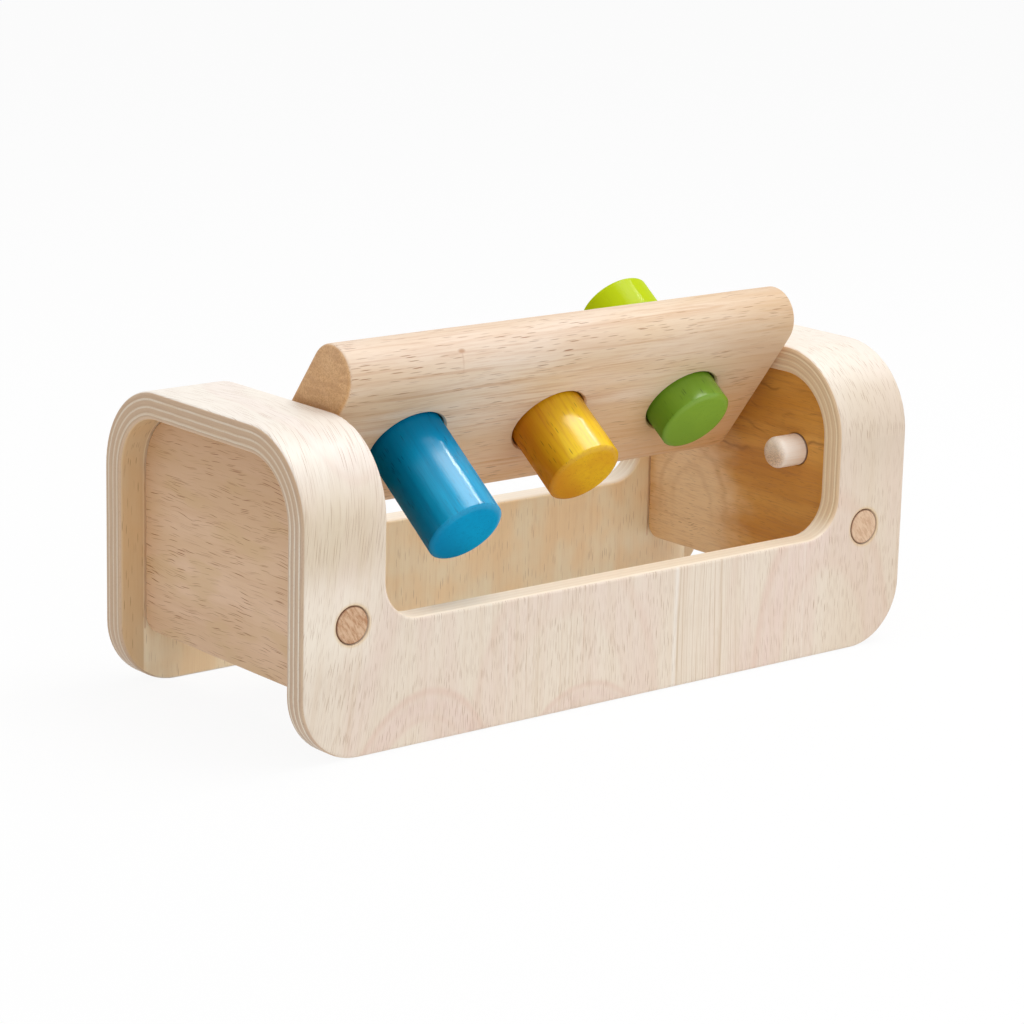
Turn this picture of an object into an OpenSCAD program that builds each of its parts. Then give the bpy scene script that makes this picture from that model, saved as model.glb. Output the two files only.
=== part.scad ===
/* [Plywood shell] */
// Length of the bent plywood shell
shell_len = 260; // [240:1:320]
// Depth of the shell, front face to rear face
shell_depth = 113; // [106:0.5:140]
// Height of the shell
shell_h = 104.5; // [100:0.5:130]
// Thickness of the plywood
ply_t = 9.2; // [7:0.1:11]
// Inner radius of the two long bends
bend_r = 20.3; // [14:0.1:26]
// Radius of the shell's four lower corners
foot_r = 22; // [16:0.5:26]
// Rounding of the plywood's sawn edges
ply_ease = 1.3; // [0.6:0.1:2]

/* [Window] */
// Width of the arms left at each end of the window
arm_w = 32; // [30:0.5:44]
// Height of the sills, front and rear
sill_h = 42.4; // [36:0.2:46]
// Radius of the window's lower corners
window_r = 13.5; // [8:0.5:18]

/* [End panels] */
// Thickness of an end panel
panel_t = 18.6; // [16:0.2:22]
// Height of an end panel's lower edge above the table
panel_lift = 19.5; // [8:0.5:26]
// Radius of an end panel's lower corners
panel_corner_r = 5; // [3:0.5:10]
// Rounding of an end panel's edges
panel_ease = 1; // [0.5:0.1:2]

/* [Assembly dowels] */
// Diameter of a dowel through the shell into a panel
dowel_d = 12.4; // [8:0.2:14]
// Height of the dowels, as a share of the way from a panel's lower edge up to the stops
dowel_h_share = 0.502; // [0.3:0.001:0.6]
// Depth that a dowel goes into the panel's edge
dowel_grip = 24; // [15:1:34]

/* [Peg block] */
// Distance from the pivot to the block's long edge
block_long = 48.4; // [44:0.2:52]
// Distance from the pivot to the block's short edge
block_short = 24.4; // [22:0.2:27]
// Thickness of the block, whose long edges are half round
block_t = 21.4; // [18:0.2:25]
// Gap between the block's end and the window's edge
block_end_gap = 1.9; // [1:0.1:6]
// Rounding around the block's ends
block_ease = 1.4; // [0.5:0.1:3]
// Lean of the block from upright, long edge to the front
block_tilt = 36.5; // [-90:0.5:90]

/* [Pivots and stops] */
// Distance of the pivots below the top of the shell
pivot_drop = 20.2; // [18:0.2:24]
// Diameter of a pivot pin
pin_d = 8; // [6:0.5:9]
// Depth that a pivot pin goes into an end panel
pin_in_panel = 12.5; // [8:0.5:15]
// Depth that a pivot pin goes into the block
pin_in_block = 15; // [8:0.5:16]
// Diameter of a spacer ring on a pivot pin
spacer_d = 13; // [12:0.5:20]
// Thickness of a spacer ring
spacer_t = 5.3; // [3:0.1:7]
// Diameter of a stop peg
stop_d = 11.2; // [8:0.2:13]
// Length that a stop peg stands out of its panel
stop_reach = 11.7; // [8:0.1:14]
// Depth that a stop peg goes into its panel
stop_in_panel = 12; // [8:0.5:15]
// Distance a stop's centre lies outside the sweep of the block's short edge
stop_margin = 5.9; // [5:0.1:8]
// Rounding of a stop peg's ends
stop_ease = 2.8; // [0.5:0.1:3.5]

/* [Pegs] */
// Diameter of a peg
peg_d = 26.7; // [22:0.1:30]
// Length of a peg
peg_len = 58; // [50:0.5:64]
// Rounding of a peg's ends
peg_ease = 2.8; // [1:0.1:6]
// Width left off the rounding at the peg's side, where a crisp edge shows
peg_edge_cut = 0.6; // [0:0.1:0.9]
// Distance from the block's end to the centre of an outer peg
peg_margin = 36.4; // [32:0.1:50]
// Gap all round between a peg and its hole
peg_gap = 0.7; // [0.4:0.1:1.5]
// How far a peg knocked right home lies below the block's face
peg_recess = 3.1; // [0:0.1:5]
// Shift of the middle peg from the block's mid plane
middle_shift = -6.2; // [-14:0.1:14]
// Shift of the right peg from the block's mid plane
right_shift = 8; // [-14:0.1:14]
// Thickness of a rubber grip ring
ring_d = 3; // [2:0.1:4]

/* [Fits] */
// Radial clearance of glued dowels, pins and stops
glue_gap = 0.06; // [0.02:0.01:0.2]
// Radial clearance of a pivot pin in the block
turn_gap = 0.08; // [0.03:0.01:0.1]
// Clearance between the end panels and the shell
panel_gap = 0.15; // [0.05:0.05:0.4]
// Side play of the block between its spacer rings
side_play = 0.4; // [0.2:0.1:1]
// Clearance between the flat block and its stops
rest_gap = 0.3; // [0.1:0.1:0.6]
// Clearance of a grip ring from its peg
grip_gap = 0.05; // [0.02:0.01:0.1]

/* [Hidden] */
$fn = 72;

// Length by which every cut runs past the surface it opens
overrun = 1;
// Free depth left at the bottom of a blind hole
bore_relief = 0.5;
// Bevel at the mouth of a drilled hole
mouth_bevel = 0.4;
// Bevel at the mouth of a peg hole
peg_mouth_bevel = 0.6;
// Rounding of the ends of glued dowels and pins
dowel_ease = 0.8;
// Rounding and bore clearance of a spacer ring
spacer_ease = 0.5;
spacer_gap = 0.2;

// Shell: half sizes, outer bend and the height where the arms begin
shell_half = shell_len / 2;
depth_half = shell_depth / 2;
outer_bend_r = bend_r + ply_t;
window_half = shell_half - arm_w;
arm_foot = sill_h + window_r;
arm_top = shell_h - outer_bend_r;
roof_half = depth_half - outer_bend_r;
rail_half = window_half - window_r;
rim_w = 2 * ply_ease;

// Block: length inside the window and the pegs' line beside the pivot
block_half = window_half - block_end_gap;
block_r = block_t / 2;
peg_line = (block_long - block_short) / 2;
pivot_h = shell_h - pivot_drop;
end_gap = spacer_t + side_play;
pin_len = pin_in_panel + end_gap + pin_in_block;

// End panels: spacer rings set their distance from the block's ends
panel_inner = block_half + end_gap;
panel_mid = panel_inner + panel_t / 2;
panel_w = shell_depth - 2 * (ply_t + panel_gap);
panel_h = shell_h - ply_t - panel_gap - panel_lift;
panel_top_r = bend_r - panel_gap;

// Stops: the flat block lies on both front ones or both rear ones
stop_y = block_short + stop_margin;
stop_h = pivot_h - block_r - rest_gap - stop_d / 2;
stop_len = stop_in_panel + stop_reach;

// Assembly dowels: between a panel's lower edge and its stops
dowel_h = panel_lift + dowel_h_share * (stop_h - panel_lift);
dowel_len = ply_t + dowel_grip;

// Pegs: pitch, hole, grip ring and how far a peg can be knocked
peg_pitch = block_half - peg_margin;
hole_r = peg_d / 2 + peg_gap;
ring_mid_r = (peg_d + ring_d) / 2 + grip_gap;
peg_travel = (peg_len - block_t) / 2 + peg_recess;

pale_wood = "#e9dcc4";
panel_wood = "#c79f7c";
block_wood = "#dfc5a0";
dowel_wood = "#c3966b";
pin_wood = "#e3cdb4";
rubber = "#2b2b2b";

// Rectangle with all four corners rounded
module soft_rect(w, h, ease) {
    translate([ease, 0]) square([w - 2 * ease, h]);
    translate([0, ease]) square([w, h - 2 * ease]);
    for (x = [ease, w - ease], y = [ease, h - ease])
        translate([x, y]) circle(ease);
}

// Rectangle with only the two corners at its far side rounded
module edge_rect(w, h, ease) {
    intersection() {
        translate([-w, 0]) soft_rect(2 * w, h, ease);
        square([w, h]);
    }
}

// Round bar along z with rounded ends
module soft_rod(d, len, ease) {
    rotate_extrude() edge_rect(d / 2, len, ease);
}

// Blind hole along z, open and bevelled at z = 0
module blind_hole(d, depth, gap) {
    mouth_r = d / 2 + gap;
    translate([0, 0, -overrun]) cylinder(h = depth + bore_relief + overrun, r = mouth_r);
    translate([0, 0, -overrun])
        cylinder(h = mouth_bevel + overrun, r1 = mouth_r + mouth_bevel + overrun, r2 = mouth_r);
}

// Quarter turn of a sheet edge, in the quadrant right of and below its centre
module lower_quarter() {
    rotate([-90, 0, 0]) rotate_extrude(angle = 90) children();
}

// Right half of the rear wall below the arms, outer face at y = ply_t
module wall_half() {
    corner_w = shell_half - foot_r - rail_half;
    corner_h = arm_foot - foot_r;
    // Sill rail
    rotate([90, 0, 90]) linear_extrude(rail_half) soft_rect(ply_t, sill_h, ply_ease);
    // Strip along the table edge under the window's corner
    translate([rail_half, 0, foot_r]) rotate([0, 90, 0])
        linear_extrude(corner_w) edge_rect(foot_r, ply_t, ply_ease);
    // Rounded lower corner
    translate([shell_half - foot_r, 0, foot_r]) lower_quarter() edge_rect(foot_r, ply_t, ply_ease);
    // Strip along the end of the shell
    translate([shell_half - foot_r, 0, foot_r])
        linear_extrude(corner_h) edge_rect(foot_r, ply_t, ply_ease);
    // Rounded corner of the window, with the sheet around it
    translate([rail_half, 0, arm_foot]) {
        lower_quarter()
            translate([window_r + rim_w, 0]) mirror([1, 0]) edge_rect(rim_w, ply_t, ply_ease);
        rotate([-90, 0, 0]) linear_extrude(ply_t) difference() {
            square([corner_w, corner_h]);
            circle(window_r + rim_w);
        }
    }
}

// Rear half of the right arm: upright, bend and half of the roof
module arm_half() {
    translate([window_half, depth_half - ply_t, arm_foot])
        linear_extrude(arm_top - arm_foot) soft_rect(arm_w, ply_t, ply_ease);
    translate([window_half, roof_half, arm_top]) rotate([90, 0, 90])
        rotate_extrude(angle = 90) translate([bend_r, 0]) soft_rect(ply_t, arm_w, ply_ease);
    translate([window_half, roof_half, shell_h - ply_t]) rotate([90, 0, 0])
        linear_extrude(roof_half) soft_rect(arm_w, ply_t, ply_ease);
}

module ply_shell() {
    color(pale_wood) difference() {
        for (side = [0, 1], face = [0, 1])
            mirror([side, 0, 0]) mirror([0, face, 0]) {
                translate([0, depth_half - ply_t, 0]) wall_half();
                arm_half();
            }
        for (side = [-1, 1], face = [-1, 1])
            translate([side * panel_mid, face * depth_half, dowel_h]) rotate([face * 90, 0, 0])
                blind_hole(dowel_d, ply_t + overrun, glue_gap);
    }
}

// Plate in the xz plane, thick along y, with rounded corners and edges
module soft_plate(w, h, t, top_r, low_r, ease) {
    translate([-w / 2, 0, low_r]) linear_extrude(h - low_r - top_r) soft_rect(w, t, ease);
    for (side = [0, 1]) mirror([side, 0, 0]) {
        translate([w / 2 - low_r, 0, low_r]) lower_quarter() edge_rect(low_r, t, ease);
        translate([w / 2 - top_r, 0, h - top_r]) mirror([0, 0, 1])
            lower_quarter() edge_rect(top_r, t, ease);
    }
    translate([low_r - w / 2, 0, low_r]) rotate([0, 90, 0])
        linear_extrude(w - 2 * low_r) edge_rect(low_r, t, ease);
    translate([w / 2 - top_r, 0, h - top_r]) rotate([0, -90, 0])
        linear_extrude(w - 2 * top_r) edge_rect(top_r, t, ease);
}

// End panel on one side, -1 left or 1 right, with blind holes for its pins
module end_panel(side) {
    color(panel_wood) difference() {
        translate([side * panel_mid + panel_t / 2, 0, panel_lift]) rotate([0, 0, 90])
            soft_plate(panel_w, panel_h, panel_t, panel_top_r, panel_corner_r, panel_ease);
        translate([side * panel_inner, 0, pivot_h]) rotate([0, side * 90, 0])
            blind_hole(pin_d, pin_in_panel, glue_gap);
        for (face = [-1, 1]) {
            translate([side * panel_inner, face * stop_y, stop_h]) rotate([0, side * 90, 0])
                blind_hole(stop_d, stop_in_panel, glue_gap);
            translate([side * panel_mid, face * panel_w / 2, dowel_h]) rotate([face * 90, 0, 0])
                blind_hole(dowel_d, dowel_grip, glue_gap);
        }
    }
}

module assembly_dowel(side, face) {
    color(dowel_wood) translate([side * panel_mid, face * depth_half, dowel_h])
        rotate([face * 90, 0, 0]) soft_rod(dowel_d, dowel_len, dowel_ease);
}

module stop_peg(side, face) {
    color(pin_wood) translate([side * (panel_inner - stop_reach), face * stop_y, stop_h])
        rotate([0, side * 90, 0]) soft_rod(stop_d, stop_len, stop_ease);
}

module pivot_pin(side) {
    color(pin_wood) translate([side * (block_half - pin_in_block), 0, pivot_h])
        rotate([0, side * 90, 0]) soft_rod(pin_d, pin_len, dowel_ease);
}

module spacer(side) {
    bore_r = pin_d / 2 + spacer_gap;
    color(pin_wood) translate([side * (panel_inner - spacer_t), 0, pivot_h])
        rotate([0, side * 90, 0]) rotate_extrude()
            translate([bore_r, 0]) soft_rect(spacer_d / 2 - bore_r, spacer_t, spacer_ease);
}

// Carries pieces drawn on the flat block, pivot at the origin, to the tilted block
module on_block() {
    translate([0, 0, pivot_h]) rotate([block_tilt - 90, 0, 0]) children();
}

// Half-round long edge of the block, turned to face along y
module block_edge(turn) {
    translate([-block_half, 0, 0]) rotate([90, 0, 90]) rotate([0, 0, turn])
        rotate_extrude(angle = 180) edge_rect(block_r, 2 * block_half, block_ease);
}

// Peg hole along z with bevelled mouths and a groove for the grip ring
module peg_hole() {
    cylinder(h = block_t + 2 * overrun, r = hole_r, center = true);
    for (face = [0, 1]) mirror([0, 0, face]) translate([0, 0, block_r - peg_mouth_bevel])
        cylinder(h = peg_mouth_bevel + overrun, r1 = hole_r, r2 = hole_r + peg_mouth_bevel + overrun);
    rotate_extrude() translate([ring_mid_r, 0]) circle(ring_d / 2 + glue_gap);
}

module peg_block() {
    color(block_wood) on_block() difference() {
        union() {
            translate([-block_half, block_short - block_r, -block_r]) rotate([90, 0, 0])
                linear_extrude(block_long + block_short - block_t)
                    soft_rect(2 * block_half, block_t, block_ease);
            translate([0, block_r - block_long, 0]) block_edge(90);
            translate([0, block_short - block_r, 0]) block_edge(-90);
        }
        for (side = [-1, 0, 1]) translate([side * peg_pitch, -peg_line, 0]) peg_hole();
        for (side = [-1, 1]) translate([side * block_half, 0, 0]) rotate([0, -side * 90, 0])
            blind_hole(pin_d, pin_in_block, turn_gap);
    }
}

module grip_ring(place) {
    color(rubber) on_block() translate([place * peg_pitch, -peg_line, 0])
        rotate_extrude() translate([ring_mid_r, 0]) circle(ring_d / 2);
}

// Peg in the hole at a place, -1 left to 1 right, shifted from the mid plane
module peg(place, shift) {
    on_block() translate([place * peg_pitch, -peg_line, shift - peg_len / 2])
        rotate_extrude() intersection() {
            edge_rect(peg_d / 2 + peg_edge_cut, peg_len, peg_ease);
            square([peg_d / 2, peg_len]);
        }
}

module blue_peg() {
    color("#0a7fb0") peg(-1, -peg_travel);
}

module yellow_peg() {
    color("#dba21f") peg(0, middle_shift);
}

module green_peg() {
    color("#8cc02e") peg(1, right_shift);
}

ply_shell();
end_panel(-1);  // left_end_panel
end_panel(1);  // right_end_panel
assembly_dowel(-1, -1);  // front_left_dowel
assembly_dowel(1, -1);  // front_right_dowel
assembly_dowel(-1, 1);  // rear_left_dowel
assembly_dowel(1, 1);  // rear_right_dowel
stop_peg(-1, -1);  // left_front_stop
stop_peg(-1, 1);  // left_rear_stop
stop_peg(1, -1);  // right_front_stop
stop_peg(1, 1);  // right_rear_stop
pivot_pin(-1);  // left_pivot_pin
pivot_pin(1);  // right_pivot_pin
spacer(-1);  // left_spacer
spacer(1);  // right_spacer
peg_block();
grip_ring(-1);  // left_grip_ring
grip_ring(0);  // middle_grip_ring
grip_ring(1);  // right_grip_ring
blue_peg();
yellow_peg();
green_peg();
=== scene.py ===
"""Looks of the peg pounding bench: bent plywood, solid wood, stained pegs, camera and light."""
import math

import bpy
from mathutils import Matrix, Vector


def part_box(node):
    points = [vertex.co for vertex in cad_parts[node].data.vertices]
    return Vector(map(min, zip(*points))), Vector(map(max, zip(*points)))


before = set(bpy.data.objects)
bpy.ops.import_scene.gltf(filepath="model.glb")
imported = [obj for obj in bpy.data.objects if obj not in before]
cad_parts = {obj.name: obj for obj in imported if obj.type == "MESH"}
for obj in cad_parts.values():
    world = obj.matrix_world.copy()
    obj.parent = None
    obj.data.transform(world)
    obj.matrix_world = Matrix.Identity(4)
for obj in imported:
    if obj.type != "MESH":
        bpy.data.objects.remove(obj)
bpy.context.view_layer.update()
bpy.ops.object.select_all(action="DESELECT")

MM = 0.001

# Bent sheet, in millimetres: its bends, and its path from the front's lower edge over the roof
shell_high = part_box("ply_shell")[1]
PLY_THICKNESS = 9.2
OUTER_BEND = 29.5
SHELL_HALF_LENGTH = shell_high.x / MM
ARM_TOP = shell_high.z / MM - OUTER_BEND
ROOF_HALF = shell_high.y / MM - OUTER_BEND
HALF_SHEET = ARM_TOP + OUTER_BEND * math.pi / 2 + ROOF_HALF
SILL = 42.4

# Dowel ends in the shell, in millimetres
dowel_low, dowel_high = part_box("front_right_dowel")
DOWEL_X = (dowel_low.x + dowel_high.x) / 2 / MM
DOWEL_Z = (dowel_low.z + dowel_high.z) / 2 / MM
DOWEL_RADIUS = (dowel_high.z - dowel_low.z) / 2 / MM

# Tilted block: the turn of its holes about x, its pins' axis in metres, half its length in millimetres
BLOCK_TILT = math.radians(36.5 - 90)
BLOCK_PIVOT = (0, 0, 0.0843)
BLOCK_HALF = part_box("peg_block")[1].x / MM

# Faces and lower edge of the end panels, and inner ends and height of the stops, in millimetres
PANEL_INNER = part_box("right_end_panel")[0].x / MM
PANEL_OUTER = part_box("right_end_panel")[1].x / MM
PANEL_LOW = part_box("right_end_panel")[0].z / MM
STOP_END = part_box("right_front_stop")[0].x / MM
STOP_Z = (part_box("right_front_stop")[0].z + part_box("right_front_stop")[1].z) / 2 / MM

# Half the length of a peg, and the radius where the rounding of its ends starts, in millimetres
PEG_HALF = 29.0
PEG_FLAT = 11.2

# Small knot in the block, in metres
KNOT = (-0.0507, -0.032, 0.1194)

# How the veneer's grain leans on the left of the front, as a slope
LEAN = 0.15

# Arches of the veneer's figure: centre along the bench and along the sheet, half sizes, strength
ARCHES = (
    ((-83, HALF_SHEET + 12), (26, 29), 1.0),
    ((-15, HALF_SHEET + 14), (24, 22), 0.9),
    ((-24, HALF_SHEET + 8), (40, 62), 0.6),
    ((93, HALF_SHEET + 18), (34, 74), 1.0),
    ((-119, 13), (19, 46), 0.9),
)

# Seam between two strips of the outer veneer, in millimetres from the middle, and the shade beside it
SEAM = 24
SEAM_SHADE = 25.6

# Offsets of the veneer's second and third layers of pores, in millimetres
SECOND_PORES = (7.3, 3.1, 0)
THIRD_PORES = (3.7, 8.3, 0)

# Turns that bring a piece's grain, at first upright, along the bench or through it
ALONG_X = (0, math.radians(90), 0)
ALONG_Y = (math.radians(90), 0, 0)

# Way across a peg, from its left, duller and darkened with painted shade, to its brighter right
ACROSS_PEG = (0.72, 0.69)

# Depth of the grain and the pores in the sanded wood, in millimetres
GRAIN_DEPTH = 0.04

# Stain of each peg: light, middle, deep, pores, far end with painted light, and near end, with a painted
# sheen on the blue peg
FIRST_PEG_SEED = 6
PEG_STAINS = {
    "blue_peg": (
        (8, 170, 218), (6, 160, 208), (0, 98, 144),
        (0, 62, 94), (0, 150, 198), (28, 144, 192),
    ),
    "yellow_peg": (
        (252, 214, 30), (238, 188, 28), (186, 94, 20),
        (104, 56, 4), (230, 174, 28), (208, 150, 52),
    ),
    "green_peg": (
        (126, 168, 46), (116, 158, 40), (98, 140, 38),
        (52, 84, 22), (186, 206, 14), (142, 176, 72),
    ),
}


def srgb(red, green, blue):
    """Linear colour from the usual 0 to 255 values."""

    def linear(value):
        share = value / 255
        return share / 12.92 if share <= 0.04045 else ((share + 0.055) / 1.055) ** 2.4

    return (linear(red), linear(green), linear(blue), 1)


# The colours follow, one group for each finish

# Outer veneer, with a painted sheen over the roof and painted shade on the right arm and the right bend
VENEER_CREAM = srgb(236, 223, 205)
VENEER_ROSE = srgb(234, 213, 200)
VENEER_DULL_STREAK = srgb(226, 207, 185)
VENEER_PALE_STREAK = srgb(242, 232, 219)
VENEER_FIBRE = srgb(202, 178, 152)
VENEER_LINE = srgb(190, 158, 118)
VENEER_OUTLINE = srgb(218, 178, 160)
VENEER_ROOF_SHEEN = srgb(246, 244, 238)
VENEER_RIGHT_ARM_SHADE = srgb(218, 196, 168)
VENEER_LEFT_ARM = srgb(218, 200, 170)
VENEER_RIGHT_BEND_SHADE = srgb(212, 194, 172)
VENEER_BELOW_ARM = srgb(252, 242, 226)
VENEER_SEAM = srgb(246, 240, 232)
VENEER_SEAM_SHADE = srgb(196, 168, 132)
VENEER_PORE = srgb(156, 110, 62)

# Inner veneer, its pale tones partly painted light on the bench's inside, with painted shade beyond the
# panels and a painted shadow line along them
INNER_LIGHT = srgb(255, 243, 214)
INNER_DARK = srgb(255, 230, 191)
INNER_STREAK = srgb(232, 198, 154)
INNER_FIBRE = srgb(204, 164, 118)
INNER_SHADE_BEYOND_PANELS = srgb(206, 166, 112)
INNER_PORE = srgb(150, 106, 62)
INNER_JOINT_SHADOW = srgb(180, 112, 48)

# Sawn edge of the plywood
PLY_BROWN = srgb(210, 181, 153)
PLY_DARK = srgb(196, 166, 139)
PLY_PALE = srgb(226, 210, 186)
PLY_RIM = srgb(240, 230, 212)
PLY_BLUSH = srgb(224, 198, 172)
PLY_FLECK = srgb(166, 132, 102)
PLY_STREAK = srgb(222, 196, 162)
PLY_CRACK = srgb(126, 92, 64)
PLY_TOP_AND_BACK = srgb(198, 160, 118)
PLY_WINDOW = srgb(255, 226, 184)
PLY_GLUE_LINE = srgb(176, 128, 82)
PLY_SILL = srgb(246, 236, 220)

# Veneer round the dowel ends
DOWEL_GLOW = srgb(224, 188, 120)
DOWEL_JOINT = srgb(140, 92, 54)

# Left panel, with painted shade at its top
LEFT_LIGHT = srgb(234, 199, 167)
LEFT_MIDDLE = srgb(224, 187, 149)
LEFT_DEEP = srgb(208, 163, 125)
LEFT_GOLD = srgb(218, 183, 136)
LEFT_TOP_SHADE = srgb(192, 150, 105)
LEFT_DASH = srgb(146, 84, 36)

# Right panel, its golden tones partly painted warm shade of the bench's inside
RIGHT_LIGHT = srgb(226, 166, 78)
RIGHT_MIDDLE = srgb(210, 144, 54)
RIGHT_DEEP = srgb(184, 116, 38)
RIGHT_PINKISH = srgb(252, 220, 178)
RIGHT_FIBRE = srgb(190, 134, 86)
RIGHT_ARCH = srgb(190, 134, 80)
RIGHT_WAVY_LINE = srgb(140, 80, 28)
RIGHT_DASH = srgb(150, 92, 38)

# Block
BLOCK_LIGHT = srgb(236, 217, 196)
BLOCK_MIDDLE = srgb(226, 199, 166)
BLOCK_DEEP = srgb(206, 164, 122)
BLOCK_LINE = srgb(194, 144, 98)
BLOCK_RIGHT_PART = srgb(206, 170, 130)
BLOCK_UPPER_EDGE = srgb(226, 206, 194)
BLOCK_LOWER_PART = srgb(240, 176, 94)
BLOCK_PORE = srgb(146, 90, 44)
BLOCK_KNOT = srgb(172, 116, 72)
BLOCK_END_LIGHT = srgb(228, 182, 126)
BLOCK_END_DARK = srgb(200, 146, 88)
BLOCK_END_CLOUD = srgb(186, 128, 76)

# Dowel ends
END_GRAIN_LIGHT = srgb(218, 182, 148)
END_GRAIN_DARK = srgb(184, 134, 94)
END_GRAIN_RIGHT = srgb(238, 210, 180)
END_GRAIN_PORE = srgb(140, 98, 68)
END_GRAIN_RIM = srgb(104, 60, 34)

# Stops, pins and spacer rings, with painted shade low on the stops' ends and a painted contact shadow where
# they meet the panel
PIN_LIGHT = srgb(255, 246, 236)
PIN_MIDDLE = srgb(252, 236, 222)
PIN_DEEP = srgb(238, 212, 190)
PIN_END_LIGHT = srgb(226, 188, 150)
PIN_END_DARK = srgb(162, 114, 74)
PIN_JOINT_SHADOW = srgb(104, 56, 28)

# Grip rings
RUBBER_DARK = srgb(34, 34, 34)
RUBBER_LIGHT = srgb(56, 54, 52)


class Finish:
    """A finish built up from nodes, with its pattern fixed to the piece in millimetres."""

    def __init__(self, name):
        self.material = bpy.data.materials.new(name)
        self.material.use_nodes = True
        self.nodes = self.material.node_tree.nodes
        self.links = self.material.node_tree.links
        self.nodes.clear()
        output = self.nodes.new("ShaderNodeOutputMaterial")
        self.shader = self.nodes.new("ShaderNodeBsdfPrincipled")
        self.links.new(self.shader.outputs["BSDF"], output.inputs["Surface"])

    def put(self, socket, value):
        if isinstance(value, bpy.types.NodeSocket):
            self.links.new(value, socket)
        else:
            socket.default_value = value

    def node(self, kind, inputs, **settings):
        made = self.nodes.new(kind)
        for key, value in settings.items():
            setattr(made, key, value)
        for key, value in inputs.items():
            self.put(made.inputs[key], value)
        return made

    def place(self, centre=(0, 0, 0), turn=(0, 0, 0)):
        """Coordinates in millimetres from a centre, turned with the piece."""
        spot = self.nodes.new("ShaderNodeTexCoord")
        inputs = {"Vector": spot.outputs["Object"]}
        mapping = self.node("ShaderNodeMapping", inputs, vector_type="TEXTURE")
        mapping.inputs["Location"].default_value = centre
        mapping.inputs["Rotation"].default_value = turn
        mapping.inputs["Scale"].default_value = (MM, MM, MM)
        return mapping.outputs["Vector"]

    def split(self, vector):
        parts = self.node("ShaderNodeSeparateXYZ", {"Vector": vector})
        return parts.outputs["X"], parts.outputs["Y"], parts.outputs["Z"]

    def join(self, x=0.0, y=0.0, z=0.0):
        return self.node("ShaderNodeCombineXYZ", {"X": x, "Y": y, "Z": z}).outputs["Vector"]

    def maths(self, kind, a, b=0.0):
        return self.node("ShaderNodeMath", {0: a, 1: b}, operation=kind).outputs[0]

    def times(self, a, b):
        return self.maths("MULTIPLY", a, b)

    def plus(self, a, b):
        return self.maths("ADD", a, b)

    def minus(self, a, b):
        return self.maths("SUBTRACT", a, b)

    def most(self, a, b):
        return self.maths("MAXIMUM", a, b)

    def length(self, x, y):
        far = self.node("ShaderNodeVectorMath", {0: self.join(x, y)}, operation="LENGTH")
        return far.outputs["Value"]

    def oval(self, x, y, centre, halves):
        """Distance from a centre, counted so that it is 1 on the oval with the given half sizes."""
        across = self.times(self.minus(x, centre[0]), 1 / halves[0])
        along = self.times(self.minus(y, centre[1]), 1 / halves[1])
        return self.length(across, along)

    def stretch(self, vector, sizes):
        """Coordinates counted in cells of the given sizes, in millimetres."""
        inputs = {0: vector, 1: tuple(1 / size for size in sizes)}
        return self.node("ShaderNodeVectorMath", inputs, operation="MULTIPLY").outputs["Vector"]

    def shift(self, vector, offset):
        inputs = {0: vector, 1: offset}
        return self.node("ShaderNodeVectorMath", inputs, operation="ADD").outputs["Vector"]

    def noise(self, vector, sizes, detail=2.0, roughness=0.5):
        inputs = {
            "Vector": self.stretch(vector, sizes), "Scale": 1.0, "Detail": detail, "Roughness": roughness
        }
        return self.node("ShaderNodeTexNoise", inputs).outputs["Fac"]

    def span(self, value, low, high, out_low=0.0, out_high=1.0):
        """Soft step of a value between two marks."""
        inputs = {
            "Value": value, "From Min": low, "From Max": high, "To Min": out_low, "To Max": out_high
        }
        return self.node("ShaderNodeMapRange", inputs, interpolation_type="SMOOTHSTEP").outputs["Result"]

    def mix(self, share, colour_a, colour_b):
        made = self.nodes.new("ShaderNodeMix")
        made.data_type = "RGBA"
        self.put(made.inputs["Factor"], share)
        self.put(made.inputs[6], colour_a)
        self.put(made.inputs[7], colour_b)
        return made.outputs[2]

    def tint(self, mask, strength, colour_a, colour_b):
        return self.mix(self.times(mask, strength), colour_a, colour_b)

    def bands(self, value, marks):
        """Colour along a value, from a list of places from 0 to 1 and colours."""
        made = self.nodes.new("ShaderNodeValToRGB")
        ramp = made.color_ramp
        while len(ramp.elements) < len(marks):
            ramp.elements.new(1.0)
        for element, (place, colour) in zip(ramp.elements, marks):
            element.position = place
            element.color = colour
        self.put(made.inputs["Fac"], value)
        return made.outputs["Color"]

    def pores(self, vector, sizes, radius, share, dimensions="3D"):
        """Long open pores: 1 in a pore and 0 beside it. The share is that of the cells with a pore."""
        inputs = {"Vector": self.stretch(vector, sizes), "Scale": 1.0}
        made = self.node("ShaderNodeTexVoronoi", inputs, voronoi_dimensions=dimensions)
        chance, strength = self.split(made.outputs["Color"])[:2]
        inside = self.span(made.outputs["Distance"], radius, radius * 0.5)
        shown = self.maths("LESS_THAN", chance, share)
        return self.times(inside, self.times(shown, self.span(strength, 0.0, 1.0, 0.35, 1.0)))

    def ring(self, distance, middle, width):
        """Soft line where a distance has a given value."""
        return self.span(self.maths("ABSOLUTE", self.minus(distance, middle)), width, 0.0)

    def growth_lines(self, field, count, width):
        """Thin soft lines along the contours of a field."""
        return self.ring(self.maths("FRACT", self.times(field, count)), 0.5, width)

    def finish(self, colour, roughness, height, bump=0.5, coat=0.0, specular=0.5, coat_roughness=0.2):
        relief = self.node("ShaderNodeBump", {"Height": height, "Strength": bump, "Distance": MM})
        values = {
            "Base Color": colour, "Roughness": roughness, "Normal": relief.outputs["Normal"],
            "Specular IOR Level": specular, "Coat Weight": coat, "Coat Roughness": coat_roughness,
            "Coat Normal": relief.outputs["Normal"],
        }
        for name, value in values.items():
            self.put(self.shader.inputs[name], value)
        return self.material


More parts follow.
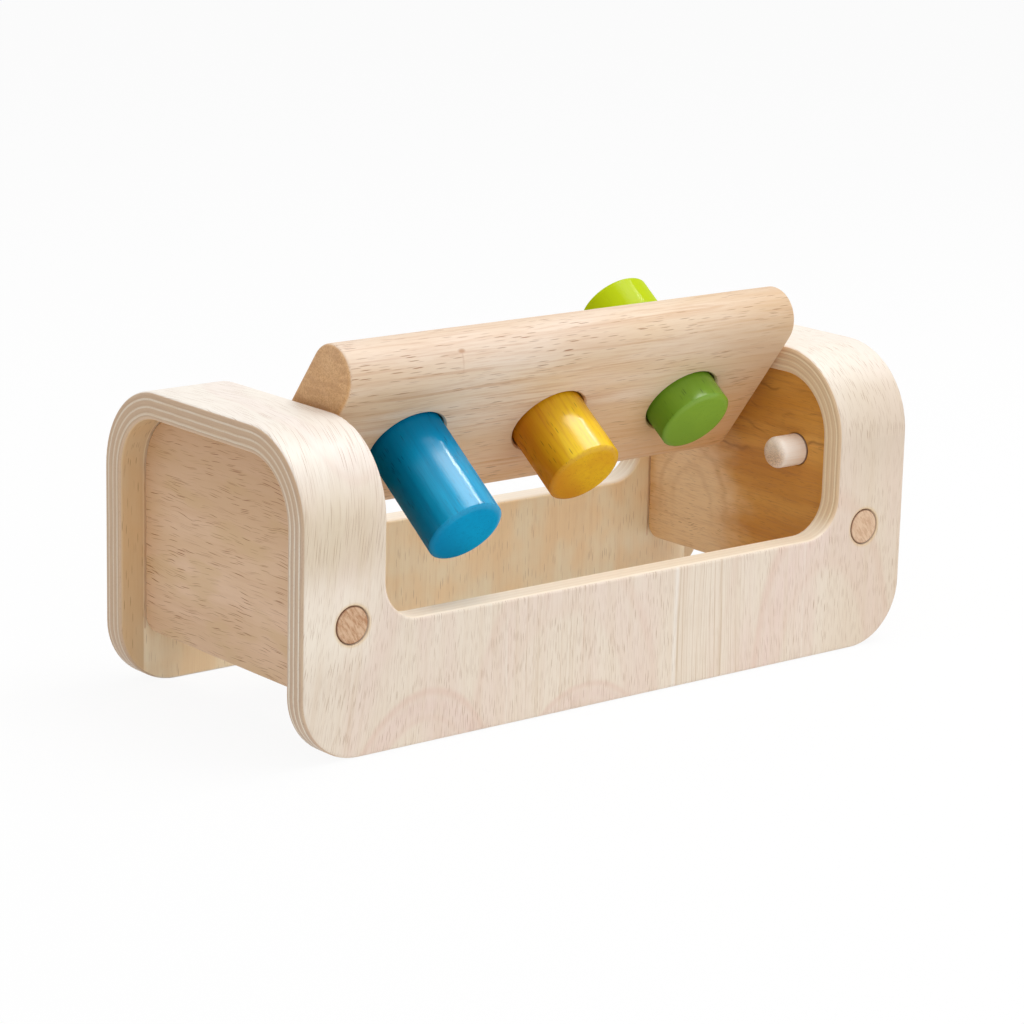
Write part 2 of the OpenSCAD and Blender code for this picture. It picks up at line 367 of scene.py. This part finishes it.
def outer_veneer(f, x, z, run, along):
    """Pale veneer with short pores in groups, long thin lines and a few rosy arches."""
    sway = f.minus(f.noise(f.join(x, run), (60, 130, 50), 1.0), 0.5)
    lean = f.times(f.span(x, -30, -110), LEAN)
    x_bent = f.minus(f.plus(x, f.times(sway, 9)), f.times(lean, along))
    grain = f.join(x_bent, run)

    # Figure of the sheet: rosy rings with darker outlines
    rosy = f.span(f.noise(grain, (24, 110, 50), 2.0), 0.44, 0.66, 0.1, 0.75)
    outline = f.times(f.growth_lines(f.noise(grain, (46, 260, 50), 1.0), 7, 0.16), 0.25)
    for centre, halves, strength in ARCHES:
        away = f.oval(x_bent, run, centre, halves)
        rosy = f.most(rosy, f.times(f.ring(away, 0.84, 0.3), strength))
        outline = f.most(outline, f.times(f.ring(away, 1.0, 0.08), strength))
        outline = f.most(outline, f.times(f.ring(away, 0.7, 0.07), strength * 0.5))

    # Seam between two strips, on the lower front only
    lower_front = f.span(run, 60, 110)
    seam = f.times(f.ring(x_bent, SEAM, 1.5), lower_front)
    seam_shade = f.times(f.ring(x_bent, SEAM_SHADE, 0.7), lower_front)

    # Streaks and fibres, long lines beside the seam, and short pores in groups away from it
    streak = f.noise(grain, (4.2, 150, 50), 3.0, 0.6)
    fibre = f.noise(grain, (0.5, 13, 50), 3.0, 0.7)
    crowd = f.span(f.noise(grain, (11, 34, 50), 2.0), 0.32, 0.54, 0.45, 1.0)
    right_part = f.span(x_bent, SEAM - 1, SEAM + 3)
    near_seam = f.times(right_part, f.span(x_bent, 62, 46))
    ruled = f.span(f.noise(grain, (24, 240, 50), 1.0), 0.5, 0.62, 0.0, 0.45)
    long_line = f.times(f.span(f.noise(grain, (0.52, 90, 50), 1.0), 0.58, 0.68), ruled)
    sideways = f.plus(x_bent, f.times(f.noise(grain, (6, 140, 50), 1.0), 7))
    seam_line = f.growth_lines(sideways, 1 / 1.5, 0.2)
    seam_line = f.times(seam_line, f.span(f.noise(grain, (1.9, 45, 50), 1.0), 0.34, 0.6, 0.15, 1.0))
    long_line = f.most(long_line, f.times(seam_line, near_seam))
    short = f.pores(grain, (0.6, 12, 1), 0.17, 0.95, "2D")
    fine = f.pores(f.shift(grain, SECOND_PORES), (0.54, 19, 1), 0.15, 0.95, "2D")
    crowd = f.times(crowd, f.span(near_seam, 0.0, 1.0, 1.0, 0.3))
    pore = f.times(f.most(short, f.times(fine, 0.8)), crowd)

    # Longer and thinner pores on the left arm
    left_part = f.times(f.span(x, -84, -104), f.span(z, 46, 62))
    thin = f.pores(f.shift(grain, THIRD_PORES), (0.46, 30, 1), 0.2, 0.9, "2D")
    pore = f.most(f.times(pore, f.span(left_part, 0.0, 1.0, 1.0, 0.3)), f.times(thin, left_part))

    cream = f.mix(rosy, VENEER_CREAM, VENEER_ROSE)
    cream = f.tint(f.span(streak, 0.44, 0.7), 0.5, cream, VENEER_DULL_STREAK)
    cream = f.tint(f.span(streak, 0.42, 0.26), 0.5, cream, VENEER_PALE_STREAK)
    cream = f.tint(f.span(fibre, 0.46, 0.74), 0.35, cream, VENEER_FIBRE)
    cream = f.tint(long_line, 0.5, cream, VENEER_LINE)
    cream = f.tint(outline, 0.32, cream, VENEER_OUTLINE)

    # Painted sheen over the roof, paler there; painted shade on the right arm and the right bend; deeper on
    # the left arm, lighter below the left arm
    cream = f.tint(f.span(along, ARM_TOP - 6, ARM_TOP + 30), 0.45, cream, VENEER_ROOF_SHEEN)
    # Painted shade on the right arm
    right_arm_shade = f.times(f.span(x, 84, 112), f.span(z, ARM_TOP + 28, ARM_TOP + 16, 0.4, 1.0))
    cream = f.tint(right_arm_shade, 0.35, cream, VENEER_RIGHT_ARM_SHADE)
    over_arm = f.span(x, -84, -112)
    up_arm = f.times(f.span(z, 52, 70), f.span(z, ARM_TOP + 20, ARM_TOP))
    cream = f.tint(f.times(over_arm, up_arm), 0.6, cream, VENEER_LEFT_ARM)
    # Painted shade on the right bend, below the roof
    bend = f.times(f.span(z, ARM_TOP - 20, ARM_TOP), f.span(z, ARM_TOP + 22, ARM_TOP + 15))
    cream = f.tint(f.times(bend, f.span(x, 84, 112)), 0.35, cream, VENEER_RIGHT_BEND_SHADE)
    below_arm = f.times(f.span(x, -94, -114), f.times(f.span(z, 64, 52), f.span(z, 26, 40)))
    cream = f.tint(below_arm, 0.5, cream, VENEER_BELOW_ARM)

    # The seam and the pores lie over all of it
    cream = f.tint(seam, 0.45, cream, VENEER_SEAM)
    cream = f.tint(seam_shade, 0.45, cream, VENEER_SEAM_SHADE)
    cream = f.tint(pore, 0.66, cream, VENEER_PORE)
    return cream, fibre, pore


def inner_veneer(f, x, z, run):
    """Tan veneer, partly painted paler as light on the bench's inside, smooth, with fine upright streaks
    and a few dark ones.
    """
    grain = f.join(f.plus(x, 300), f.plus(run, 300))
    streak = f.noise(grain, (4.5, 120, 50), 3.0, 0.6)
    fibre = f.noise(grain, (0.6, 16, 50), 3.0, 0.65)
    dark = f.times(f.pores(grain, (0.8, 13, 1), 0.17, 0.6, "2D"), f.noise(grain, (14, 22, 50), 1.0))
    cloud = f.noise(grain, (17, 24, 50), 2.0)
    tan = f.mix(f.span(cloud, 0.34, 0.66), INNER_LIGHT, INNER_DARK)
    tan = f.tint(f.span(streak, 0.4, 0.75), 0.24, tan, INNER_STREAK)
    tan = f.tint(f.span(fibre, 0.45, 0.75), 0.18, tan, INNER_FIBRE)

    # Painted shade beyond the panels, under the shell's overhang, and a painted shadow line along both
    # faces of each panel
    across = f.maths("ABSOLUTE", x)
    tan = f.tint(f.span(across, PANEL_OUTER, PANEL_OUTER + 1), 0.65, tan, INNER_SHADE_BEYOND_PANELS)
    dark = f.times(dark, f.span(across, PANEL_OUTER, PANEL_OUTER + 1, 1.0, 1.6))
    tan = f.tint(dark, 0.9, tan, INNER_PORE)
    # Painted shadow in the crease where each panel meets the shell
    joint = f.most(f.ring(across, PANEL_OUTER, 0.6), f.ring(across, PANEL_INNER, 0.6))
    beside_panel = f.span(z, PANEL_LOW - 0.5, PANEL_LOW + 0.5)
    return f.tint(f.times(joint, beside_panel), 0.5, tan, INNER_JOINT_SHADOW)


def sawn_edge(f, spot, run, depth):
    """Stripes of the plies: cream where the grain shows its side, brown where it shows its end."""
    x, y, z = f.split(spot)
    waver = f.minus(f.noise(spot, (7, 7, 7), 2.0), 0.5)
    ply = f.times(f.plus(depth, f.times(waver, 0.35)), 1 / PLY_THICKNESS)
    stripes = f.bands(
        ply,
        [
            (0.0, PLY_BROWN), (0.22, PLY_DARK), (0.235, PLY_RIM), (0.29, PLY_RIM),
            (0.31, PLY_BROWN), (0.49, PLY_DARK), (0.51, PLY_PALE), (0.56, PLY_RIM),
            (0.585, PLY_BROWN), (0.73, PLY_DARK), (0.755, PLY_PALE), (0.82, PLY_RIM),
            (0.845, PLY_DARK), (0.9, PLY_BROWN), (0.925, PLY_BLUSH), (1.0, PLY_BLUSH),
        ],
    )
    fleck = f.noise(spot, (0.4, 0.4, 0.9), 3.0, 0.65)
    layer_streak = f.noise(f.join(x, run, f.times(depth, 2)), (9, 9, 0.9), 2.0)
    stripes = f.tint(f.span(fleck, 0.48, 0.75), 0.4, stripes, PLY_FLECK)
    stripes = f.tint(f.span(layer_streak, 0.44, 0.72), 0.5, stripes, PLY_STREAK)
    crack = f.pores(spot, (3, 3, 1.6), 0.2, 0.2)
    stripes = f.tint(crack, 0.5, stripes, PLY_CRACK)

    # Browner ends over the top and the back; softer stripes in the sanded window, paler on its rear sill
    window = f.span(f.maths("ABSOLUTE", x), SHELL_HALF_LENGTH - 12, SHELL_HALF_LENGTH - 16)
    at_end = f.minus(1.0, window)
    top_or_back = f.most(f.span(y, -40, -10), f.span(z, 70, 92))
    stripes = f.tint(f.times(at_end, top_or_back), 0.35, stripes, PLY_TOP_AND_BACK)
    stripes = f.tint(window, 0.45, stripes, PLY_WINDOW)
    glue_line = f.growth_lines(f.plus(depth, f.times(waver, 0.35)), 1 / 1.15, 0.13)
    upright_edge = f.times(window, f.span(z, SILL + 2, SILL + 14))
    stripes = f.tint(f.times(glue_line, upright_edge), 0.4, stripes, PLY_GLUE_LINE)
    sill = f.times(window, f.span(z, SILL + 8, SILL + 1))
    return f.tint(sill, f.span(y, -5, 5, 0.62, 0.75), stripes, PLY_SILL)


def plywood():
    """One bent sheet, told apart by depth: pale veneer outside, tan veneer inside, stripes between."""
    f = Finish("bent_plywood")
    spot = f.place()
    x, y, z = f.split(spot)
    side = f.maths("ABSOLUTE", y)
    outwards = f.most(f.minus(side, ROOF_HALF), 0.0)
    upwards = f.most(f.minus(z, ARM_TOP), 0.0)
    depth = f.minus(OUTER_BEND, f.length(outwards, upwards))
    around = f.times(f.maths("ARCTAN2", upwards, outwards), OUTER_BEND)
    over_roof = f.most(f.minus(ROOF_HALF, side), 0.0)
    along = f.plus(f.plus(f.maths("MINIMUM", z, ARM_TOP), around), over_roof)
    run = f.times(f.minus(HALF_SHEET, along), f.maths("SIGN", f.times(y, -1)))

    outer, fibre, pore = outer_veneer(f, x, z, run, along)
    upright_wall = f.span(side, ROOF_HALF, ROOF_HALF + 1)
    from_dowel = f.length(f.minus(f.maths("ABSOLUTE", x), DOWEL_X), f.minus(z, DOWEL_Z))
    glow = f.times(f.span(from_dowel, DOWEL_RADIUS + 1.6, DOWEL_RADIUS + 0.2), upright_wall)
    outer = f.tint(glow, 0.45, outer, DOWEL_GLOW)
    joint = f.times(f.span(from_dowel, DOWEL_RADIUS + 0.45, DOWEL_RADIUS), upright_wall)
    outer = f.tint(joint, 0.8, outer, DOWEL_JOINT)

    colour = f.mix(f.span(depth, 0.5, 0.2), sawn_edge(f, spot, run, depth), outer)
    inside = f.span(depth, PLY_THICKNESS - 0.3, PLY_THICKNESS - 0.12)
    colour = f.mix(inside, colour, inner_veneer(f, x, z, run))
    height = f.minus(f.times(fibre, GRAIN_DEPTH), f.times(pore, GRAIN_DEPTH))
    return f.finish(colour, f.plus(f.times(fibre, 0.16), 0.4), height, coat=0.2, coat_roughness=0.35)


class SolidWood(Finish):
    """Solid wood with its grain along the local z axis, its fibres and pores going through the piece."""

    def __init__(self, name, centre, turn, seed):
        super().__init__(name)
        self.here = self.place(centre, turn)
        spot = self.shift(self.here, (seed * 61.0, seed * 37.0, seed * 113.0))
        x, y, z = self.split(spot)
        sway = self.minus(self.noise(spot, (24, 24, 80), 2.0), 0.5)
        self.bent = self.join(self.plus(x, self.times(sway, 5)), self.plus(y, self.times(sway, 4)), z)
        self.fibre = self.noise(self.bent, (0.55, 0.55, 14), 3.0, 0.65)
        self.pore = 0.0

    def body(self, light, middle, deep, streak_size=2.2, strength=0.4):
        """Tones of the wood, from broad patches down to single fibres."""
        patch = self.noise(self.bent, (13, 13, 75), 2.0)
        streak = self.noise(self.bent, (streak_size, streak_size, 70), 3.0, 0.6)
        colour = self.mix(self.span(patch, 0.34, 0.66), light, middle)
        colour = self.tint(self.span(streak, 0.46, 0.74), strength, colour, deep)
        return self.tint(self.span(self.fibre, 0.46, 0.74), strength * 0.85, colour, deep)

    def with_pores(self, colour, tone, cell, radius, share, strength):
        crowd = self.span(self.noise(self.bent, (7, 7, 30), 2.0), 0.38, 0.6, 0.15, 1.0)
        self.pore = self.times(self.pores(self.bent, cell, radius, share), crowd)
        return self.tint(self.pore, strength, colour, tone)

    def with_dashes(self, colour, tone, cell, radius, share, strength):
        """Pores of a flat side across x, in groups and at a slight slant to each other."""
        _, y, z = self.split(self.bent)
        across = self.plus(y, self.times(self.noise(self.bent, (14, 14, 22), 2.0), 5))
        flat = self.join(across, z)
        crowd = self.span(self.noise(flat, (6, 16, 50), 2.0), 0.36, 0.56, 0.3, 1.0)
        apart = self.shift(flat, (cell[0] * 9.4, cell[1] * 5.3, 0))
        second = self.pores(apart, (cell[0] * 0.9, cell[1] * 1.5, 1), radius, share, "2D")
        both = self.most(self.pores(flat, cell, radius, share, "2D"), self.times(second, 0.8))
        self.pore = self.times(both, crowd)
        return self.tint(self.pore, strength, colour, tone)

    def done(self, colour):
        height = self.minus(self.times(self.fibre, GRAIN_DEPTH), self.times(self.pore, GRAIN_DEPTH))
        roughness = self.plus(self.times(self.fibre, 0.16), 0.42)
        return self.finish(colour, roughness, height, coat_roughness=0.14)


def left_panel_wood():
    """Pinkish brown wood with clear dark dashes along its grain."""
    low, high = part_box("left_end_panel")
    f = SolidWood("left_panel_wood", (low + high) / 2, ALONG_Y, 1)
    z = f.split(f.place())[2]
    colour = f.body(LEFT_LIGHT, LEFT_MIDDLE, LEFT_DEEP, 3.0, 0.25)
    gold = f.span(f.noise(f.bent, (9, 9, 24), 2.0), 0.46, 0.66)
    colour = f.tint(gold, 0.55, colour, LEFT_GOLD)
    # Painted shade over the top of the panel, under the shell's overhang
    colour = f.tint(f.span(z, 52, 92), 0.6, colour, LEFT_TOP_SHADE)
    colour = f.with_dashes(colour, LEFT_DASH, (0.74, 18, 1), 0.18, 0.85, 0.95)
    return f.done(colour)


def right_panel_wood():
    """Golden wood, partly painted warm shade of the bench's inside, with wavy dark lines above and a
    pinkish arch low at the back.
    """
    low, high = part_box("right_end_panel")
    f = SolidWood("right_panel_wood", (low + high) / 2, ALONG_Y, 5)
    x, y, z = f.split(f.place())
    colour = f.body(RIGHT_LIGHT, RIGHT_MIDDLE, RIGHT_DEEP, 2.6)
    away = f.oval(y, z, (23, 36), (21, 27))
    pinkish = f.span(f.plus(away, f.times(f.noise(f.bent, (10, 10, 16), 3.0), 1.2)), 2.3, 1.1)
    pinkish = f.times(pinkish, f.span(x, PANEL_OUTER - 1, PANEL_INNER + 1, 0.4, 1.0))
    colour = f.tint(pinkish, 0.9, colour, RIGHT_PINKISH)
    colour = f.tint(f.span(f.fibre, 0.46, 0.74), 0.3, colour, RIGHT_FIBRE)
    far = f.plus(away, f.times(f.noise(f.bent, (8, 8, 16), 3.0), 0.3))
    arch = f.most(f.ring(far, 1.0, 0.1), f.times(f.ring(far, 0.66, 0.09), 0.7))
    colour = f.tint(f.times(arch, f.span(z, 20, 50)), 0.24, colour, RIGHT_ARCH)
    swell = f.minus(z, f.times(f.noise(f.bent, (20, 20, 22), 2.0), 16))
    wavy = f.growth_lines(f.times(swell, 1 / 8.5), 1.0, 0.09)
    patchy = f.times(f.span(f.noise(f.bent, (6, 6, 15), 1.0), 0.4, 0.6), f.span(z, 52, 66))
    colour = f.tint(f.times(wavy, patchy), 0.5, colour, RIGHT_WAVY_LINE)
    colour = f.with_dashes(colour, RIGHT_DASH, (0.75, 8, 1), 0.17, 0.7, 0.5)
    return f.done(colour)


def block_wood():
    """Pale wood along the block, tanner and finely dotted on its sawn ends."""
    f = SolidWood("block_wood", BLOCK_PIVOT, ALONG_X, 2)
    x, _, z = f.split(f.place())
    colour = f.body(BLOCK_LIGHT, BLOCK_MIDDLE, BLOCK_DEEP, 2.4, 0.5)
    line = f.span(f.noise(f.bent, (1.2, 1.2, 50), 1.0), 0.58, 0.7)
    colour = f.tint(line, 0.4, colour, BLOCK_LINE)
    colour = f.tint(f.span(x, 20, 95), 0.55, colour, BLOCK_RIGHT_PART)
    colour = f.tint(f.times(f.span(z, 108, 122), f.span(x, 40, 0)), 0.3, colour, BLOCK_UPPER_EDGE)
    colour = f.tint(f.span(z, 104, 66), 0.42, colour, BLOCK_LOWER_PART)
    colour = f.with_pores(colour, BLOCK_PORE, (0.56, 0.56, 10), 0.32, 0.95, 0.85)

    # Small brown knot high on the front side, with a faint line below it
    side_x, side_y, side_z = f.split(f.place(KNOT))
    dot = f.span(f.oval(side_x, side_z, (0, 0.4), (1.7, 0.8)), 1.2, 0.3)
    below = f.times(f.span(side_z, 0.4, -0.6), f.span(side_z, -9, -2))
    line_below = f.times(f.ring(side_x, 0.0, 0.6), below)
    knot = f.times(f.most(dot, f.times(line_below, 0.35)), f.span(side_y, 12, 8))
    colour = f.tint(knot, 0.6, colour, BLOCK_KNOT)
    sawn = f.span(f.maths("ABSOLUTE", x), BLOCK_HALF - 0.9, BLOCK_HALF - 0.2)
    dots = f.noise(f.place(), (0.45, 0.45, 0.45), 2.0)
    end = f.mix(f.span(dots, 0.35, 0.7), BLOCK_END_LIGHT, BLOCK_END_DARK)
    cloud = f.noise(f.place(), (8, 9, 2.4), 2.0)
    end = f.tint(f.span(cloud, 0.44, 0.62), 0.4, end, BLOCK_END_CLOUD)
    return f.done(f.mix(f.times(sawn, 0.85), colour, end))


def dowel_wood():
    """End grain of the assembly dowels, with fine slanting streaks and a dark joint round the edge."""
    f = SolidWood("assembly_dowel_wood", (0, 0, 0), ALONG_Y, 3)
    x, _, z = f.split(f.place())
    slant = f.plus(x, f.times(z, 0.6))
    streak = f.noise(f.join(slant, z), (1.1, 3.6, 1), 3.0, 0.65)
    colour = f.mix(f.span(streak, 0.38, 0.66), END_GRAIN_LIGHT, END_GRAIN_DARK)
    colour = f.tint(f.span(x, -10, 10), 0.35, colour, END_GRAIN_RIGHT)
    colour = f.with_pores(colour, END_GRAIN_PORE, (0.8, 0.8, 9), 0.26, 0.6, 0.6)
    far = f.length(f.minus(f.maths("ABSOLUTE", x), DOWEL_X), f.minus(z, DOWEL_Z))
    joint = f.span(far, DOWEL_RADIUS - 0.7, DOWEL_RADIUS - 0.1)
    return f.done(f.tint(joint, 0.85, colour, END_GRAIN_RIM))


def pin_wood():
    """Pale wood of the stops, pins and spacer rings, with fine end grain."""
    f = SolidWood("pin_wood", (0, 0, 0), ALONG_X, 4)
    x, _, z = f.split(f.place())
    across = f.maths("ABSOLUTE", x)
    colour = f.body(PIN_LIGHT, PIN_MIDDLE, PIN_DEEP, 2.4)
    torn = f.noise(f.place(), (0.5, 0.7, 0.4), 3.0, 0.65)
    end = f.mix(f.span(torn, 0.36, 0.66), PIN_END_LIGHT, PIN_END_DARK)
    # End grain on the rounded end of each stop, with more of its darker tone lower down as painted shade
    end_grain_and_lower_shade = f.span(across, STOP_END + 2.6, STOP_END + 0.1)
    end_grain_and_lower_shade = f.times(end_grain_and_lower_shade, f.span(z, STOP_Z + 5, STOP_Z - 3, 0.3, 1.0))
    colour = f.tint(end_grain_and_lower_shade, 0.75, colour, end)
    # Painted contact shadow: a dark ring where the piece meets the panel
    colour = f.tint(f.span(across, PANEL_INNER - 0.7, PANEL_INNER - 0.1), 0.8, colour, PIN_JOINT_SHADOW)
    return f.done(colour)


def peg_stain(piece, seed, light, middle, deep, pore_tone, far_end_as_lit, near_end):
    """Stain with the wood's grain showing in it, glossiest round the end of the peg that shows in front,
    with painted shade on one side and next to the block, and painted light at its far end.
    """
    low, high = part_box(piece)
    f = SolidWood(piece + "_stain", (low + high) / 2, (BLOCK_TILT, 0, 0), seed)
    x, y, along = f.split(f.here)
    side = f.span(f.length(x, y), PEG_FLAT - 0.5, PEG_FLAT + 2.2)
    far = f.span(along, 10, 18)
    gloss = f.times(side, f.span(along, -8, -1, 1.0, 0.25))

    # Painted shade: deeper on one side of the peg, which is also duller, and deeper towards its middle,
    # where the block shades it
    sideways = f.minus(f.times(x, ACROSS_PEG[0]), f.times(y, ACROSS_PEG[1]))
    gloss = f.times(gloss, f.span(sideways, -6, 2.5, 0.25, 1.0))
    colour = f.body(light, middle, deep, 1.6, 0.32)
    colour = f.tint(f.span(sideways, 2, -10), 0.75, colour, deep)
    colour = f.tint(f.span(along, -20, -6), 0.3, colour, deep)
    colour = f.tint(f.span(along, -10, 8), 0.5, colour, deep)
    colour = f.with_pores(colour, pore_tone, (0.7, 0.7, 5.5), 0.32, 0.5, 0.85)
    # Painted light on the far end, which faces up towards the light
    colour = f.mix(far, colour, far_end_as_lit)
    # The near end's own tone; in the blue peg the red in it is a painted sheen
    colour = f.tint(f.span(along, 1.2 - PEG_HALF, 0.2 - PEG_HALF), 0.55, colour, near_end)
    f.shader.inputs["Coat IOR"].default_value = 1.58
    height = f.minus(f.times(f.fibre, 0.07), f.times(f.pore, 0.08))
    return f.finish(colour, 0.45, height, 0.5, f.times(gloss, 0.66), 0.0, 0.14)


def grip_rubber():
    f = Finish("grip_rubber")
    grain = f.noise(f.place(), (0.4, 0.4, 0.4), 3.0)
    colour = f.mix(grain, RUBBER_DARK, RUBBER_LIGHT)
    return f.finish(colour, f.plus(f.times(grain, 0.2), 0.6), f.times(grain, 0.1))


def wear(material, *names):
    for name in names:
        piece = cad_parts[name]
        piece.data.materials.clear()
        piece.data.materials.append(material)


wear(plywood(), "ply_shell")
wear(left_panel_wood(), "left_end_panel")
wear(right_panel_wood(), "right_end_panel")
wear(dowel_wood(), "front_left_dowel", "front_right_dowel", "rear_left_dowel", "rear_right_dowel")
pale_pin = pin_wood()
wear(pale_pin, "left_front_stop", "left_rear_stop", "right_front_stop", "right_rear_stop")
wear(pale_pin, "left_pivot_pin", "right_pivot_pin", "left_spacer", "right_spacer")
wear(block_wood(), "peg_block")
wear(grip_rubber(), "left_grip_ring", "middle_grip_ring", "right_grip_ring")
for seed, (peg, tones) in enumerate(PEG_STAINS.items(), FIRST_PEG_SEED):
    wear(peg_stain(peg, seed, *[srgb(*tone) for tone in tones]), peg)


# Camera of the photograph, in metres and radians, with its lens and sensor in millimetres
VIEW_AZIMUTH = math.radians(-39.25)
VIEW_ELEVATION = math.radians(14.11)
VIEW_ROLL = math.radians(1.38)
VIEW_DISTANCE = 1.14998
VIEW_CENTRE = Vector((0, 0, 0.055))
VIEW_OFFSET = (-0.00181, -0.00231)
LENS = 118.09
SENSOR = 36


def photo_camera():
    ca, sa = math.cos(VIEW_AZIMUTH), math.sin(VIEW_AZIMUTH)
    ce, se = math.cos(VIEW_ELEVATION), math.sin(VIEW_ELEVATION)
    back = Vector((sa * ce, -ca * ce, se))
    level = Vector((ca, sa, 0))
    upright = back.cross(level)
    right = level * math.cos(VIEW_ROLL) + upright * math.sin(VIEW_ROLL)
    up = upright * math.cos(VIEW_ROLL) - level * math.sin(VIEW_ROLL)
    lens = bpy.data.cameras.new("photo_camera")
    lens.sensor_width = SENSOR
    lens.lens = LENS
    camera = bpy.data.objects.new("photo_camera", lens)
    bpy.context.scene.collection.objects.link(camera)
    turn = Matrix((right, up, back)).transposed().to_4x4()
    spot = VIEW_CENTRE + back * VIEW_DISTANCE + right * VIEW_OFFSET[0] + up * VIEW_OFFSET[1]
    camera.matrix_world = Matrix.Translation(spot) @ turn
    bpy.context.scene.camera = camera


# What the softboxes point at, and each softbox: name, way from there, distance and side in metres, watts
LAMP_AIM = Vector((0, 0, 0.06))
SOFTBOXES = (
    ("overhead_softbox", (0.22, -0.15, 0.96), 1.2, 0.8, 5.4),
    ("overhead_core", (0.22, -0.15, 0.96), 1.15, 0.46, 2.1),
    ("right_lamp", (0.56, -0.03, 0.83), 1.3, 0.06, 0.85),
    ("front_fill", (-0.12, -0.95, 0.4), 1.2, 0.8, 1.65),
)

# Strength of the white world on the object, and as the eye and glossy surfaces see it
WORLD_ON_OBJECT = 0.6
WORLD_SEEN = 1.0

# Floor: its side in metres, its paint, and the share of plain white that the eye sees in it
FLOOR_SIDE = 8
FLOOR_PAINT = (0.9, 0.9, 0.9, 1)
FLOOR_WHITE_SHARE = 0.92


def soft_lamp(name, way, distance, size, power):
    """Square softbox that shines on the bench from a direction."""
    lamp = bpy.data.lights.new(name, "AREA")
    lamp.shape = "SQUARE"
    lamp.size = size
    lamp.energy = power
    piece = bpy.data.objects.new(name, lamp)
    bpy.context.scene.collection.objects.link(piece)
    piece.location = LAMP_AIM + Vector(way).normalized() * distance
    piece.rotation_euler = (-Vector(way)).to_track_quat("-Z", "Y").to_euler()


def shows_to_eye(tree):
    """1 for the camera and for what glossy or clear surfaces show, else 0."""
    path = tree.nodes.new("ShaderNodeLightPath")
    seen = path.outputs["Is Camera Ray"]
    for other in ("Is Glossy Ray", "Is Transmission Ray"):
        either = tree.nodes.new("ShaderNodeMath")
        either.operation = "MAXIMUM"
        tree.links.new(seen, either.inputs[0])
        tree.links.new(path.outputs[other], either.inputs[1])
        seen = either.outputs[0]
    return seen


def white_world():
    world = bpy.data.worlds.new("soft_studio")
    bpy.context.scene.world = world
    world.use_nodes = True
    tree = world.node_tree
    sky = tree.nodes["Background"]
    sky.inputs["Color"].default_value = (1, 1, 1, 1)
    level = tree.nodes.new("ShaderNodeMapRange")
    level.inputs["To Min"].default_value = WORLD_ON_OBJECT
    level.inputs["To Max"].default_value = WORLD_SEEN
    tree.links.new(shows_to_eye(tree), level.inputs["Value"])
    tree.links.new(level.outputs["Result"], sky.inputs["Strength"])


def pale_floor():
    """White floor that keeps a faint shadow."""
    bpy.ops.mesh.primitive_plane_add(size=FLOOR_SIDE, location=(0, 0, 0))
    floor = bpy.context.object
    floor.name = "pale_floor"
    paint = bpy.data.materials.new("pale_floor_paint")
    paint.use_nodes = True
    tree = paint.node_tree
    tree.nodes.clear()
    output = tree.nodes.new("ShaderNodeOutputMaterial")
    matt = tree.nodes.new("ShaderNodeBsdfDiffuse")
    matt.inputs["Color"].default_value = FLOOR_PAINT
    bright = tree.nodes.new("ShaderNodeEmission")
    bright.inputs["Strength"].default_value = 1.0
    share = tree.nodes.new("ShaderNodeMath")
    share.operation = "MULTIPLY"
    share.inputs[1].default_value = FLOOR_WHITE_SHARE
    blend = tree.nodes.new("ShaderNodeMixShader")
    tree.links.new(shows_to_eye(tree), share.inputs[0])
    tree.links.new(share.outputs[0], blend.inputs["Fac"])
    tree.links.new(matt.outputs[0], blend.inputs[1])
    tree.links.new(bright.outputs[0], blend.inputs[2])
    tree.links.new(blend.outputs[0], output.inputs["Surface"])
    floor.data.materials.append(paint)


bpy.context.scene.view_settings.view_transform = "Standard"
photo_camera()
white_world()
pale_floor()
for softbox in SOFTBOXES:
    soft_lamp(*softbox)
